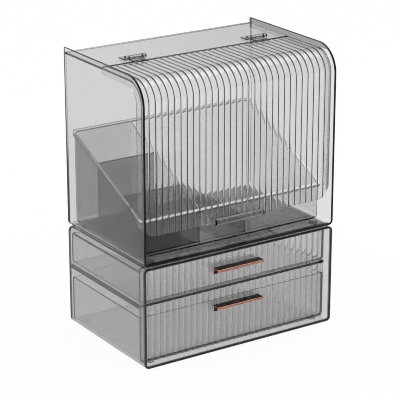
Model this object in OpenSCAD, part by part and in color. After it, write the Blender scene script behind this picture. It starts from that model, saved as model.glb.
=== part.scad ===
// Dustproof makeup organizer: a case with two drawers, and a cabinet that stands on it.
// The cabinet has a fluted door, hinged near the top, and holds an insert tray with dividers.
// Frame: +X to the right, +Y to the back, +Z up, with the origin under the middle of the body.

/* [Body] */
// Width across the side walls
body_w = 285; // [240:1:340]
// Depth from the open front edges to the back face
body_d = 187; // [160:1:230]
// Radius of the long outer corners of the case and the cabinet
corner_r = 6; // [4.5:0.5:9]

/* [Drawer case] */
// Wall of the drawer case
case_wall = 2.8; // [2:0.1:4]
// Clear height for the lower drawer
lower_space_h = 76; // [66:1:110]
// Clear height for the upper drawer
upper_space_h = 47.5; // [43:0.5:80]
// Thickness of the shelf between the drawers
shelf_t = 2.8; // [2:0.1:4]
// Width of the ribs that carry the shelf
rib_w = 2.5; // [1.5:0.1:4]
// Height of the ribs that carry the shelf
rib_h = 2; // [1:0.1:4]

/* [Drawers] */
// Distance of the drawer fronts behind the front edge of the case
front_set_back = 12.5; // [10.5:0.5:20]
// Running gap between a drawer and the case
run_gap = 0.7; // [0.3:0.1:1.2]
// Thickness of a drawer front behind its reeds
front_t = 2.4; // [1.6:0.1:4]
// Wall of the drawer tubs
tub_wall = 2; // [1.4:0.1:3]
// Height of the lower tub
lower_tub_h = 60; // [54:1:62]
// Height of the upper tub
upper_tub_h = 41; // [27:0.5:41.5]
// Radius of the long bottom corners of a tub
tub_corner_r = 5; // [4:0.5:14]
// Gap between a shut drawer and the back wall
tub_back_gap = 3; // [1:0.5:10]

/* [Reeds] */
// Number of reeds across each drawer front, and of flutes across the door
reed_count = 31; // [20:1:36]
// Height of a reed above the groove beside it
reed_h = 1.2; // [0.6:0.1:1.6]

/* [Door ridges] */
// Width of a ridge between two flutes at its foot
ridge_w = 1.2; // [0.8:0.1:2]
// Width of a ridge at its crest
ridge_top_w = 0.6; // [0.3:0.1:0.7]
// Height of a ridge above the flutes
ridge_h = 1.2; // [0.6:0.1:1.6]

/* [Handles] */
// Length of a handle
handle_l = 70; // [50:1:120]
// Distance that a handle stands out
handle_d = 12; // [8:0.5:12]
// Thickness of the handle's metal
handle_t = 1.6; // [1.2:0.1:2.2]
// Height of the lip at the front of a handle
handle_lip = 3.5; // [2.5:0.5:6]
// Height of the flange at the back of a handle
flange_h = 9; // [7.5:0.5:12]
// Distance of a handle below the top of its drawer front
handle_drop = 20; // [18:0.5:22]
// Distance between the two screws of a handle
screw_span = 48; // [20:1:60]
// Radius of a handle screw
screw_r = 1.25; // [1:0.05:1.5]
// Radius of a screw's head
screw_head_r = 2.6; // [2:0.1:3]
// Thickness of a screw's head
screw_head_t = 1.6; // [1:0.1:2.4]
// Gap around a screw in its hole
screw_gap = 0.1; // [0.05:0.01:0.3]

/* [Pads] */
// Height of the four pads under the drawer case
pad_h = 0.9; // [0.5:0.1:3]
// Radius of the four pads under the drawer case
pad_r = 5; // [3:0.5:8]
// Height of the four pads between the case and the cabinet
lug_h = 2.2; // [1:0.1:4]
// Radius of the four pads between the case and the cabinet
lug_r = 6; // [3:0.5:8]
// Distance of the pads from the outer faces
pad_inset = 18; // [14:0.5:40]

/* [Cabinet] */
// Height of the cabinet's side walls
cabinet_h = 235.4; // [210:0.2:300]
// Wall of the cabinet
cabinet_wall = 3; // [2.2:0.1:4]
// Radius of the side walls' front top corner
front_curve_r = 35; // [24:1:60]
// Depth of the fixed panel at the back of the top
top_panel_d = 89; // [75:1:100]
// Thickness of the fixed top panel
top_panel_t = 3; // [2:0.1:4]

/* [Door] */
// Distance of the door's face inside the outline of the side walls
door_inset = 6; // [5:0.5:9]
// Gap at each side of the door and in front of the top panel
door_gap = 0.6; // [0.4:0.1:1.2]
// Thickness of the door under its ridges
door_t = 2; // [1.4:0.1:3]
// Height of the door's bottom edge above the cabinet's bottom
door_bottom_h = 35.5; // [25:0.5:44]
// Radius of the door's bottom corners
door_corner_r = 18; // [6:1:30]
// Thickness of the two side flanges
side_flange_t = 2.2; // [1.4:0.1:3]
// Depth of the side flanges behind the door's face
side_flange_d = 12.5; // [10:0.5:14]
// Depth of the side flanges under the door's top
top_flange_d = 9; // [7:0.5:12]
// Radius at the inner corner of the side flanges
inner_curve_r = 20; // [10:1:22]

/* [Door pull] */
// Length of the pull
pull_l = 72; // [40:1:120]
// Height of the pull
pull_h = 9; // [6:0.5:9]
// Distance of the pull's lower edge below the door
pull_drop = 3.5; // [0:0.5:4]

/* [Hinges] */
// Distance of the left hinge's middle from the left outer face
left_hinge_in = 55.5; // [30:0.5:80]
// Distance of the right hinge's middle from the right outer face
right_hinge_in = 47.5; // [30:0.5:80]
// Distance of the hinge axis behind the top panel's front edge
axis_set_back = 9; // [6:0.5:14]
// Radius of the knuckles
knuckle_r = 3; // [2.4:0.1:3.5]
// Length of the left fixed knuckle
left_knuckle_l = 5.2; // [4:0.2:10]
// Length of the door's knuckle
door_knuckle_l = 19; // [12:0.5:24]
// Length of the right fixed knuckle
right_knuckle_l = 5.2; // [4:0.2:14]
// Gap between two knuckles, and under the moving one
knuckle_gap = 0.3; // [0.2:0.05:0.5]
// Radius of a hinge pin
pin_r = 1.25; // [1:0.05:1.4]
// Running gap around a hinge pin
pin_gap = 0.05; // [0.02:0.01:0.1]
// Thickness of the hinge leaves
leaf_t = 1.5; // [1:0.1:2]
// Length of each leaf from the hinge axis
leaf_d = 15; // [12:0.5:16]

/* [Insert tray] */
// Height of the insert at the back
insert_back_h = 124; // [90:1:150]
// Height of the insert at the front
insert_front_h = 49; // [32:1:80]
// Wall and floor of the insert
insert_wall = 2.2; // [1.6:0.1:3]
// Distance that the rim stands out
rim_out = 1.6; // [0.8:0.1:2.4]
// Height of the rim
rim_t = 3; // [2:0.5:5]
// Radius of the insert's long bottom corners
insert_corner_r = 8; // [4:0.5:12]
// Gap between the insert's rim and the door's side flanges
insert_side_gap = 1; // [0.5:0.1:2]
// Gap between the insert's rim and the door
insert_front_gap = 7.8; // [6:0.2:12]
// Gap between the insert's rim and the cabinet's back wall
insert_back_gap = 1; // [0.4:0.1:3]

/* [Dividers] */
// Thickness of the dividers
divider_t = 1.8; // [1.2:0.1:2.4]
// Gap around a divider in the insert
divider_gap = 0.2; // [0.1:0.05:0.4]
// Distance of the long divider to the left of the middle
long_divider_x = 50; // [35:1:70]
// Distance of the rear cross divider behind the cabinet's front edge
rear_cross_y = 121.5; // [100:0.5:135]
// Distance of the front cross divider behind the cabinet's front edge
front_cross_y = 63; // [45:0.5:90]
// Distance of the low divider to the right of the middle
low_divider_x = 19; // [0:1:60]
// Height of the low divider above the insert's floor
low_divider_h = 26; // [15:1:29]

/* [Hidden] */
$fn = 96;

// Cuts run this far past the faces that they open.
overcut = 1;
smoke = [0.62, 0.62, 0.62, 0.5];
dark_smoke = [0.42, 0.42, 0.43, 0.7];
clear_rubber = [0.85, 0.85, 0.85, 0.7];
rose_gold = [0.74, 0.46, 0.38];
steel = [0.7, 0.7, 0.72];

front_y = -body_d / 2;
back_y = body_d / 2;

// Heights in the drawer case
case_z = pad_h;
case_in_w = body_w - 2 * case_wall;
lower_floor_z = case_z + case_wall;
shelf_z = lower_floor_z + lower_space_h;
upper_floor_z = shelf_z + shelf_t;
case_ceiling_z = upper_floor_z + upper_space_h;
case_top_z = case_ceiling_z + case_wall;

// Drawers
drawer_w = case_in_w - 2 * run_gap;
front_face_y = front_y + front_set_back;
tub_front_y = front_face_y + reed_h + front_t;
tub_back_y = back_y - case_wall - tub_back_gap;
lower_front_z = lower_floor_z + run_gap;
lower_front_top_z = shelf_z - run_gap;
upper_front_z = upper_floor_z + run_gap;
upper_front_top_z = case_ceiling_z - run_gap;
lower_handle_z = lower_front_top_z - handle_drop;
upper_handle_z = upper_front_top_z - handle_drop;
front_corner_r = corner_r - case_wall - run_gap;
screw_drop = (handle_t + flange_h) / 2;

// Cabinet
cab_z = case_top_z + lug_h;
cab_top_z = cab_z + cabinet_h;
cab_in_w = body_w - 2 * cabinet_wall;
cab_floor_z = cab_z + cabinet_wall;
door_top_z = cab_top_z - door_inset;
panel_z = door_top_z - knuckle_gap;
panel_front_y = back_y - top_panel_d;

// Door: its face bends round the same centre as the side walls
door_w = cab_in_w - 2 * door_gap;
door_z = cab_z + door_bottom_h;
door_rear_y = panel_front_y - door_gap;
door_front_y = front_y + door_inset;
curve_y = front_y + front_curve_r;
curve_z = cab_top_z - front_curve_r;
curve_in_r = front_curve_r - door_inset - ridge_h - door_t;
flange_out_r = curve_in_r + door_t / 2;

// Hinges
hinge_l = left_knuckle_l + door_knuckle_l + right_knuckle_l + 2 * knuckle_gap;
axis_y = panel_front_y + axis_set_back;
axis_z = door_top_z + knuckle_r;
door_knuckle_x = left_knuckle_l + knuckle_gap;
right_knuckle_x = door_knuckle_x + door_knuckle_l + knuckle_gap;

// Insert tray, from its rim inwards
rim_w = door_w - 2 * (side_flange_t + insert_side_gap);
rim_front_y = door_front_y + ridge_h + door_t + insert_front_gap;
rim_back_y = back_y - cabinet_wall - insert_back_gap;
insert_w = rim_w - 2 * rim_out;
insert_front_y = rim_front_y + rim_out;
insert_back_y = rim_back_y - rim_out;
bay_w = insert_w - 2 * insert_wall;
bay_front_y = insert_front_y + insert_wall;
bay_back_y = insert_back_y - insert_wall;
bay_z = cab_floor_z + insert_wall;
rim_slope = (insert_back_h - insert_front_h) / (bay_back_y - rim_front_y);

// Height of the insert's sloping rim at a place along Y
function rim_z(y) = cab_floor_z + insert_front_h + rim_slope * (min(y, bay_back_y) - rim_front_y);

// Extrudes a shape drawn in X and Z between two places along Y.
module along_y(y0, y1) {
    translate([0, y1, 0]) rotate([90, 0, 0]) linear_extrude(y1 - y0) children();
}

// Extrudes a shape drawn in Y and Z between two places along X.
module along_x(x0, x1) {
    translate([x0, 0, 0]) rotate([90, 0, 90]) linear_extrude(x1 - x0) children();
}

// Rectangle on the X axis with all four corners rounded
module rounded_2d(w, h, r) {
    translate([-w / 2, r]) square([w, h - 2 * r]);
    translate([r - w / 2, 0]) square([w - 2 * r, h]);
    for (x = [r - w / 2, w / 2 - r], y = [r, h - r]) translate([x, y]) circle(r);
}

// Rectangle on the X axis with its two bottom corners rounded
module trough_2d(w, h, r) {
    translate([-w / 2, r]) square([w, h - r]);
    translate([r - w / 2, 0]) square([w - 2 * r, h]);
    for (x = [r - w / 2, w / 2 - r]) translate([x, r]) circle(r);
}

// Rectangle in Y and Z with its front top corner rounded
module curved_2d(y0, y1, z0, z1, r) {
    translate([y0 + r, z0]) square([y1 - y0 - r, z1 - z0]);
    translate([y0, z0]) square([r + overcut, z1 - z0 - r]);
    translate([y0 + r, z1 - r]) circle(r);
}

// Section across a row of round reeds on a flat back
module reeded_2d(w, back_t) {
    pitch = w / reed_count;
    reed_r = (pitch * pitch / 4 + reed_h * reed_h) / (2 * reed_h);
    intersection() {
        translate([-w / 2, 0]) square([w, back_t + reed_h + overcut]);
        union() for (i = [0 : reed_count - 1])
            translate([pitch * (i + 0.5) - w / 2, back_t + reed_h - reed_r]) circle(reed_r);
    }
}

// Section across a flat sheet with narrow ridges between its flutes
module ridged_2d(w, back_t) {
    pitch = w / reed_count;
    translate([-w / 2, 0]) square([w, back_t]);
    for (i = [1 : reed_count - 1]) translate([pitch * i - w / 2, back_t]) polygon([
        [-ridge_w / 2, -overcut], [ridge_w / 2, -overcut], [ridge_w / 2, 0],
        [ridge_top_w / 2, ridge_h], [-ridge_top_w / 2, ridge_h], [-ridge_w / 2, 0]
    ]);
}

// Four round pads near the corners
module corner_pads(z, r, h) {
    for (x = [pad_inset - body_w / 2, body_w / 2 - pad_inset], y = [front_y + pad_inset, back_y - pad_inset])
        translate([x, y, z]) cylinder(r = r, h = h);
}

// Holes or shanks along Y at the two handle screws
module screw_pair(handle_z, y0, y1, r) {
    for (x = [-screw_span / 2, screw_span / 2])
        translate([x, y1, handle_z - screw_drop]) rotate([90, 0, 0]) cylinder(r = r, h = y1 - y0);
}

module drawer_case() color(smoke) {
    difference() {
        along_y(front_y, back_y) translate([0, case_z])
            rounded_2d(body_w, case_top_z - case_z, corner_r);
        along_y(front_y - overcut, back_y - case_wall) translate([0, lower_floor_z])
            rounded_2d(case_in_w, case_ceiling_z - lower_floor_z, corner_r - case_wall);
    }
    for (side = [-1, 1])
        translate([side * (case_in_w / 2 - rib_w / 2 + case_wall / 4), (tub_front_y + back_y) / 2, shelf_z - rib_h / 2])
            cube([rib_w + case_wall / 2, back_y - tub_front_y - case_wall, rib_h], center = true);
}

module drawer_shelf() color(smoke)
    translate([run_gap - case_in_w / 2, front_face_y, shelf_z])
        cube([case_in_w - 2 * run_gap, back_y - case_wall - run_gap - front_face_y, shelf_t]);

module case_pads() color(clear_rubber) corner_pads(0, pad_r, pad_h);

module cabinet_pads() color(clear_rubber) corner_pads(case_top_z, lug_r, lug_h);

// Open tub with rounded bottom corners and holes for the handle screws
module drawer_tub(z0, h, handle_z) {
    difference() {
        along_y(tub_front_y, tub_back_y) translate([0, z0]) trough_2d(drawer_w, h, tub_corner_r);
        along_y(tub_front_y + tub_wall, tub_back_y - tub_wall) translate([0, z0 + tub_wall])
            trough_2d(drawer_w - 2 * tub_wall, h, tub_corner_r - tub_wall);
        screw_pair(handle_z, tub_front_y - overcut, tub_front_y + tub_wall + overcut, screw_r + screw_gap);
    }
}

// Reeded front with rounded corners and holes for the handle screws
module drawer_front(z0, z1, handle_z) {
    difference() {
        intersection() {
            translate([0, tub_front_y, z0]) linear_extrude(z1 - z0) mirror([0, 1]) reeded_2d(drawer_w, front_t);
            along_y(front_face_y - overcut, tub_front_y + overcut) translate([0, z0])
                rounded_2d(drawer_w, z1 - z0, front_corner_r);
        }
        screw_pair(handle_z, front_face_y - overcut, tub_front_y + overcut, screw_r + screw_gap);
    }
}

// Bent bar with a flange behind, a plate on top and a lip in front
module handle(top_z) {
    difference() {
        along_x(-handle_l / 2, handle_l / 2) polygon([
            [front_face_y, top_z],
            [front_face_y - handle_d, top_z],
            [front_face_y - handle_d, top_z - handle_lip],
            [front_face_y - handle_d + handle_t, top_z - handle_lip],
            [front_face_y - handle_d + handle_t, top_z - handle_t],
            [front_face_y - handle_t, top_z - handle_t],
            [front_face_y - handle_t, top_z - flange_h],
            [front_face_y, top_z - flange_h]
        ]);
        screw_pair(top_z, front_face_y - handle_t - overcut, front_face_y + overcut, screw_r + screw_gap);
    }
}

// Screws with round heads inside the tub and ends flush with the handle's flange
module handle_screws(handle_z) {
    head_y = tub_front_y + tub_wall;
    screw_pair(handle_z, front_face_y - handle_t, head_y + screw_head_t / 2, screw_r);
    screw_pair(handle_z, head_y, head_y + screw_head_t, screw_head_r);
}

module lower_drawer_tub() color(smoke) drawer_tub(lower_front_z, lower_tub_h, lower_handle_z);
module upper_drawer_tub() color(smoke) drawer_tub(upper_front_z, upper_tub_h, upper_handle_z);
module lower_drawer_front() color(smoke) drawer_front(lower_front_z, lower_front_top_z, lower_handle_z);
module upper_drawer_front() color(smoke) drawer_front(upper_front_z, upper_front_top_z, upper_handle_z);
module lower_handle() color(rose_gold) handle(lower_handle_z);
module upper_handle() color(rose_gold) handle(upper_handle_z);
module lower_handle_screws() color(steel) handle_screws(lower_handle_z);
module upper_handle_screws() color(steel) handle_screws(upper_handle_z);

// Floor, back and two side walls in one piece; the side walls rise past the top panel as lips
module cabinet_shell() color(smoke)
    difference() {
        intersection() {
            along_y(front_y, back_y) translate([0, cab_z]) trough_2d(body_w, cabinet_h, corner_r);
            along_x(-body_w / 2, body_w / 2) curved_2d(front_y, back_y, cab_z, cab_top_z, front_curve_r);
        }
        along_y(front_y - overcut, back_y - cabinet_wall) translate([0, cab_floor_z])
            trough_2d(cab_in_w, cabinet_h, corner_r - cabinet_wall);
        translate([-cab_in_w / 2, back_y - cabinet_wall - overcut, panel_z - top_panel_t])
            cube([cab_in_w, cabinet_wall + 2 * overcut, cabinet_h]);
    }

module rear_top_panel() color(smoke)
    translate([-cab_in_w / 2, panel_front_y, panel_z - top_panel_t])
        cube([cab_in_w, top_panel_d, top_panel_t]);

// Flat ridged top, a quarter bend and a ridged front
module door_skin() {
    along_y(curve_y, door_rear_y) translate([0, curve_z + curve_in_r]) ridged_2d(door_w, door_t);
    translate([0, curve_y, curve_z]) rotate([90, 0, 90]) rotate_extrude(angle = 90, start = 90)
        translate([curve_in_r, 0]) rotate(-90) ridged_2d(door_w, door_t);
    translate([0, curve_y - curve_in_r, door_z]) linear_extrude(curve_z - door_z)
        mirror([0, 1]) ridged_2d(door_w, door_t);
}

// Outline of a side flange, which follows the door's bend
module side_flange_2d() {
    difference() {
        curved_2d(curve_y - flange_out_r, door_rear_y, door_z, curve_z + flange_out_r, flange_out_r);
        curved_2d(door_front_y + side_flange_d, door_rear_y + overcut, door_z - overcut,
            door_top_z - top_flange_d, inner_curve_r);
    }
}

module dust_door() color(smoke)
    intersection() {
        union() {
            door_skin();
            along_x(-door_w / 2, side_flange_t - door_w / 2) side_flange_2d();
            along_x(door_w / 2 - side_flange_t, door_w / 2) side_flange_2d();
        }
        along_y(front_y, back_y) translate([0, door_z]) trough_2d(door_w, cabinet_h, door_corner_r);
    }

// Half-round bar across the lower edge of the door
module door_pull() color(dark_smoke)
    along_x(-pull_l / 2, pull_l / 2) translate([door_front_y, door_z - pull_drop + pull_h / 2])
        intersection() {
            circle(pull_h / 2);
            translate([-pull_h, -pull_h]) square([pull_h, 2 * pull_h]);
        }

// Knuckle along X, from its left end
module knuckle(l, r) {
    translate([0, axis_y, axis_z]) rotate([0, 90, 0]) cylinder(r = r, h = l);
}

// Leaf on the top panel, with a knuckle at each end of the hinge
module fixed_leaf(x0) {
    translate([x0, 0, 0]) difference() {
        union() {
            translate([0, axis_y + knuckle_r + knuckle_gap, panel_z])
                cube([hinge_l, leaf_d - knuckle_r - knuckle_gap, leaf_t]);
            for (k = [[0, left_knuckle_l], [right_knuckle_x, right_knuckle_l]]) translate([k[0], 0, 0]) {
                knuckle(k[1], knuckle_r);
                translate([0, axis_y, panel_z]) cube([k[1], knuckle_r + 2 * knuckle_gap, knuckle_r]);
            }
        }
        translate([-overcut, 0, 0]) knuckle(hinge_l + 2 * overcut, pin_r + pin_gap);
    }
}

// Leaf on the door, with the middle knuckle
module door_leaf(x0) {
    translate([x0 + door_knuckle_x, 0, 0]) difference() {
        union() {
            knuckle(door_knuckle_l, knuckle_r);
            translate([0, axis_y - leaf_d, door_top_z]) cube([door_knuckle_l, leaf_d, leaf_t]);
        }
        translate([-overcut, 0, 0]) knuckle(door_knuckle_l + 2 * overcut, pin_r + pin_gap);
    }
}

module hinge_pin(x0) {
    translate([x0, 0, 0]) knuckle(hinge_l, pin_r);
}

left_hinge_start = left_hinge_in - body_w / 2 - hinge_l / 2;
right_hinge_start = body_w / 2 - right_hinge_in - hinge_l / 2;

module left_hinge_fixed_leaf() color(smoke) fixed_leaf(left_hinge_start);
module left_hinge_door_leaf() color(smoke) door_leaf(left_hinge_start);
module left_hinge_pin() color(steel) hinge_pin(left_hinge_start);
module right_hinge_fixed_leaf() color(smoke) fixed_leaf(right_hinge_start);
module right_hinge_door_leaf() color(smoke) door_leaf(right_hinge_start);
module right_hinge_pin() color(steel) hinge_pin(right_hinge_start);

// Side view of the insert between two places along Y, from its floor to its rim
module insert_side_2d(y0, y1, drop) {
    polygon([
        [y0, cab_floor_z], [y1, cab_floor_z], [y1, rim_z(y1) - drop],
        [min(y1, bay_back_y), rim_z(min(y1, bay_back_y)) - drop], [y0, rim_z(y0) - drop]
    ]);
}

// Tray with a high back, sloping sides, a low front and a rim that stands out
module insert_tray() color(dark_smoke)
    difference() {
        union() {
            intersection() {
                along_x(-insert_w / 2, insert_w / 2) insert_side_2d(insert_front_y, insert_back_y, 0);
                along_y(insert_front_y, insert_back_y) translate([0, cab_floor_z])
                    trough_2d(insert_w, insert_back_h, insert_corner_r);
            }
            along_x(-rim_w / 2, rim_w / 2) difference() {
                insert_side_2d(rim_front_y, rim_back_y, 0);
                translate([0, -rim_t]) insert_side_2d(rim_front_y - overcut, rim_back_y + overcut, 0);
            }
        }
        along_y(bay_front_y, bay_back_y) translate([0, bay_z])
            trough_2d(bay_w, insert_back_h, insert_corner_r - insert_wall);
    }

// Plate across the left bays, as high as the rim where it stands
module cross_divider(y) {
    left_x = divider_gap - bay_w / 2;
    right_x = -long_divider_x - divider_t / 2 - divider_gap;
    intersection() {
        along_y(y - divider_t / 2, y + divider_t / 2) translate([0, bay_z])
            trough_2d(-2 * left_x, insert_back_h, insert_corner_r - insert_wall);
        along_x(left_x, right_x) insert_side_2d(bay_front_y, bay_back_y, divider_gap);
    }
}

module long_divider() color(dark_smoke)
    intersection() {
        along_x(-long_divider_x - divider_t / 2, divider_t / 2 - long_divider_x)
            insert_side_2d(bay_front_y + divider_gap, bay_back_y - divider_gap, divider_gap);
        translate([-body_w / 2, front_y, bay_z]) cube([body_w, body_d, insert_back_h]);
    }

module rear_cross_divider() color(dark_smoke) cross_divider(front_y + rear_cross_y);
module front_cross_divider() color(dark_smoke) cross_divider(front_y + front_cross_y);

module low_divider() color(dark_smoke)
    translate([low_divider_x - divider_t / 2, bay_front_y + divider_gap, bay_z])
        cube([divider_t, bay_back_y - bay_front_y - 2 * divider_gap, low_divider_h]);

drawer_case();
drawer_shelf();
case_pads();
lower_drawer_tub();
lower_drawer_front();
lower_handle();
lower_handle_screws();
upper_drawer_tub();
upper_drawer_front();
upper_handle();
upper_handle_screws();
cabinet_pads();
cabinet_shell();
rear_top_panel();
dust_door();
door_pull();
left_hinge_fixed_leaf();
left_hinge_door_leaf();
left_hinge_pin();
right_hinge_fixed_leaf();
right_hinge_door_leaf();
right_hinge_pin();
insert_tray();
long_divider();
rear_cross_divider();
front_cross_divider();
low_divider();
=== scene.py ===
import math

import bmesh
import bpy
from mathutils import Matrix, Vector


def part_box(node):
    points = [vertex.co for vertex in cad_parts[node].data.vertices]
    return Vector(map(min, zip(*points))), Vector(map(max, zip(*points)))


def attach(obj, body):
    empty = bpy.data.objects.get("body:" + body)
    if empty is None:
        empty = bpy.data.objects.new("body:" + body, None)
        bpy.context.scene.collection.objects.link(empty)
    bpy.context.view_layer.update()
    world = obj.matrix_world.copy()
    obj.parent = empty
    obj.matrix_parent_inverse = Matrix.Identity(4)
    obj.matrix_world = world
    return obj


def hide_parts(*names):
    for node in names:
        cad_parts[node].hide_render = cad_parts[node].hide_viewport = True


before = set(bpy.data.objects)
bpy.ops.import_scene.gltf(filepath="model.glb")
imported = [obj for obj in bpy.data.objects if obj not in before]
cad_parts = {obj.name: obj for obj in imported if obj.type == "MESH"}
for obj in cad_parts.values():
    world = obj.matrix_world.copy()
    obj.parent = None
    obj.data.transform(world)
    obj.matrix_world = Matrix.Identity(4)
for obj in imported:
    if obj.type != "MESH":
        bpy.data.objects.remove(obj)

mm = 0.001
airGap = 0.1 * mm  # left between clear pieces that rest on each other
tiny, close, broad = 0.01 * mm, 0.1 * mm, 1 * mm  # how near a plane a face or an edge counts as at it
cutNear, mergeNear = 1e-7, 1e-6  # how near a cut, or another vertex, a vertex is taken to be on it
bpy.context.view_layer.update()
scene = bpy.context.scene


# small helpers for the meshes

def startBox(lo, hi):
    bm = bmesh.new()
    verts = bmesh.ops.create_cube(bm, size=1)["verts"]
    bmesh.ops.scale(bm, vec=hi - lo, verts=verts)
    bmesh.ops.translate(bm, vec=(lo + hi) / 2, verts=verts)
    return bm


def edgesAlong(bm, axis, keep=lambda mid: True):
    found = []
    for e in bm.edges:
        run = (e.verts[1].co - e.verts[0].co).normalized()
        if abs(run[axis]) > 0.999 and keep((e.verts[0].co + e.verts[1].co) / 2):
            found.append(e)
    return found


def roundOff(bm, edges, radius, segments=8):
    bmesh.ops.bevel(bm, geom=edges, offset=radius, offset_type="OFFSET", segments=segments,
                    profile=0.5, affect="EDGES", material=-1, clamp_overlap=True)


def facesAt(bm, axis, value, near=tiny):
    return [f for f in bm.faces if all(abs(v.co[axis] - value) < near for v in f.verts)]


def vertsOf(made):
    return [g for g in made["geom"] if isinstance(g, bmesh.types.BMVert)]


def pushFaces(bm, faces, move, keepStart=False):
    # extrudes faces by a vector and gives the moved verts; an open strip keeps its first faces as an end cap
    made = bmesh.ops.extrude_face_region(bm, geom=faces)
    verts = vertsOf(made)
    bmesh.ops.translate(bm, vec=move, verts=verts)
    if not keepStart:
        bmesh.ops.delete(bm, geom=faces, context="FACES_ONLY")
    return verts


def sliceOff(bm, point, normal):
    # removes what lies past a plane and closes the cut
    geom = bm.verts[:] + bm.edges[:] + bm.faces[:]
    cut = bmesh.ops.bisect_plane(bm, geom=geom, dist=cutNear, plane_co=point, plane_no=normal,
                                 clear_outer=True)
    edges = [g for g in cut["geom_cut"] if isinstance(g, bmesh.types.BMEdge)]
    return bmesh.ops.contextual_create(bm, geom=edges)["faces"]


def divideFaces(bm, faces, point, normal):
    geom = faces + list({e for f in faces for e in f.edges}) + list({v for f in faces for v in f.verts})
    bmesh.ops.bisect_plane(bm, geom=geom, dist=cutNear, plane_co=point, plane_no=normal)


def finishPiece(name, bm, body, nodes, material, edge=0.0, edgeAngle=50, segments=2, smoothAngle=35,
                shadeOf=None, edgePaintedShadeAndWear=1.0, shineOf=None):
    # closes the mesh work: normals, fine edges, shading, material, body and the CAD nodes it stands for;
    # the rim attribute is painted shade on clear plastic, dark edges and faces that stand in for the dark
    # that refraction gives, and on metal it marks edges polished bare and the handle lip's painted highlight;
    # it is the edge value on the fine edges and shadeOf elsewhere;
    # the shine attribute, which marks faces with a gloss coat, is 0 on the fine edges and shineOf elsewhere
    bmesh.ops.remove_doubles(bm, verts=bm.verts[:], dist=mergeNear)
    bmesh.ops.delete(bm, geom=[e for e in bm.edges if not e.link_faces], context="EDGES")
    bmesh.ops.delete(bm, geom=[v for v in bm.verts if not v.link_faces], context="VERTS")
    bmesh.ops.recalc_face_normals(bm, faces=bm.faces[:])
    loose = sum(1 for e in bm.edges if not e.is_manifold)
    rim = bm.faces.layers.float.new("rim")
    shine = bm.faces.layers.float.new("shine")
    for f in bm.faces:
        f[rim] = shadeOf(f) if shadeOf else 0
        f[shine] = shineOf(f) if shineOf else 0
    if edge:
        sharp = [e for e in bm.edges if e.is_manifold and e.calc_face_angle() > math.radians(edgeAngle)]
        made = bmesh.ops.bevel(bm, geom=sharp, offset=edge * mm, offset_type="OFFSET", segments=segments,
                               profile=0.5, affect="EDGES", material=-1, clamp_overlap=True)
        # painted shade on clear plastic's fine edges; on metal, edges polished bare
        for f in made["faces"]:
            f[rim] = edgePaintedShadeAndWear(f) if callable(edgePaintedShadeAndWear) else edgePaintedShadeAndWear
            f[shine] = 0
    for f in bm.faces:
        f.smooth = True
    mesh = bpy.data.meshes.new(name)
    bm.to_mesh(mesh)
    bm.free()
    piece = bpy.data.objects.new(name, mesh)
    scene.collection.objects.link(piece)
    if not edge:
        mesh.set_sharp_from_angle(angle=math.radians(smoothAngle))
    even = piece.modifiers.new("evenNormals", "WEIGHTED_NORMAL")
    even.keep_sharp = True
    mesh.materials.append(material)
    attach(piece, body)
    if nodes:
        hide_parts(*nodes)
    if loose:
        print("open edges on", name, loose)
    return piece


# materials

def newMaterial(name):
    material = bpy.data.materials.new(name)
    material.use_nodes = True
    nodes = material.node_tree.nodes
    return material, nodes, material.node_tree.links, nodes["Principled BSDF"], nodes["Material Output"]


def mouldWaveGroup():
    # faint waviness, haze and hairline scuffs of moulded clear plastic
    group = bpy.data.node_groups.new("mouldWave", "ShaderNodeTree")
    face = group.interface
    face.new_socket(name="Wave Scale", in_out="INPUT", socket_type="NodeSocketFloat").default_value = 30
    face.new_socket(name="Haze", in_out="INPUT", socket_type="NodeSocketFloat").default_value = 0.02
    face.new_socket(name="Scuffs", in_out="INPUT", socket_type="NodeSocketFloat").default_value = 0.05
    face.new_socket(name="Roughness", in_out="OUTPUT", socket_type="NodeSocketFloat")
    face.new_socket(name="Height", in_out="OUTPUT", socket_type="NodeSocketFloat")
    nodes, links = group.nodes, group.links
    given = nodes.new("NodeGroupInput")
    out = nodes.new("NodeGroupOutput")
    place = nodes.new("ShaderNodeTexCoord")
    wave = nodes.new("ShaderNodeTexNoise")
    wave.inputs["Detail"].default_value = 1
    links.new(place.outputs["Object"], wave.inputs["Vector"])
    links.new(given.outputs["Wave Scale"], wave.inputs["Scale"])
    links.new(wave.outputs["Fac"], out.inputs["Height"])
    smear = nodes.new("ShaderNodeTexNoise")
    smear.inputs["Scale"].default_value = 90
    smear.inputs["Detail"].default_value = 4
    links.new(place.outputs["Object"], smear.inputs["Vector"])
    amount = nodes.new("ShaderNodeMath")
    amount.operation = "MULTIPLY"
    links.new(smear.outputs["Fac"], amount.inputs[0])
    links.new(given.outputs["Haze"], amount.inputs[1])
    turned = nodes.new("ShaderNodeMapping")
    turned.inputs["Rotation"].default_value = (0.5, 0.3, 0.7)
    turned.inputs["Scale"].default_value = (0.03, 1, 1)
    links.new(place.outputs["Object"], turned.inputs["Vector"])
    lines = nodes.new("ShaderNodeTexNoise")
    lines.inputs["Scale"].default_value = 900
    links.new(turned.outputs["Vector"], lines.inputs["Vector"])
    thin = nodes.new("ShaderNodeMapRange")
    thin.inputs["From Min"].default_value = 0.68
    thin.inputs["From Max"].default_value = 0.75
    links.new(lines.outputs["Fac"], thin.inputs["Value"])
    links.new(given.outputs["Scuffs"], thin.inputs["To Max"])
    total = nodes.new("ShaderNodeMath")
    links.new(amount.outputs[0], total.inputs[0])
    links.new(thin.outputs["Result"], total.inputs[1])
    links.new(total.outputs[0], out.inputs["Roughness"])
    return group


mouldWave = mouldWaveGroup()


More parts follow.
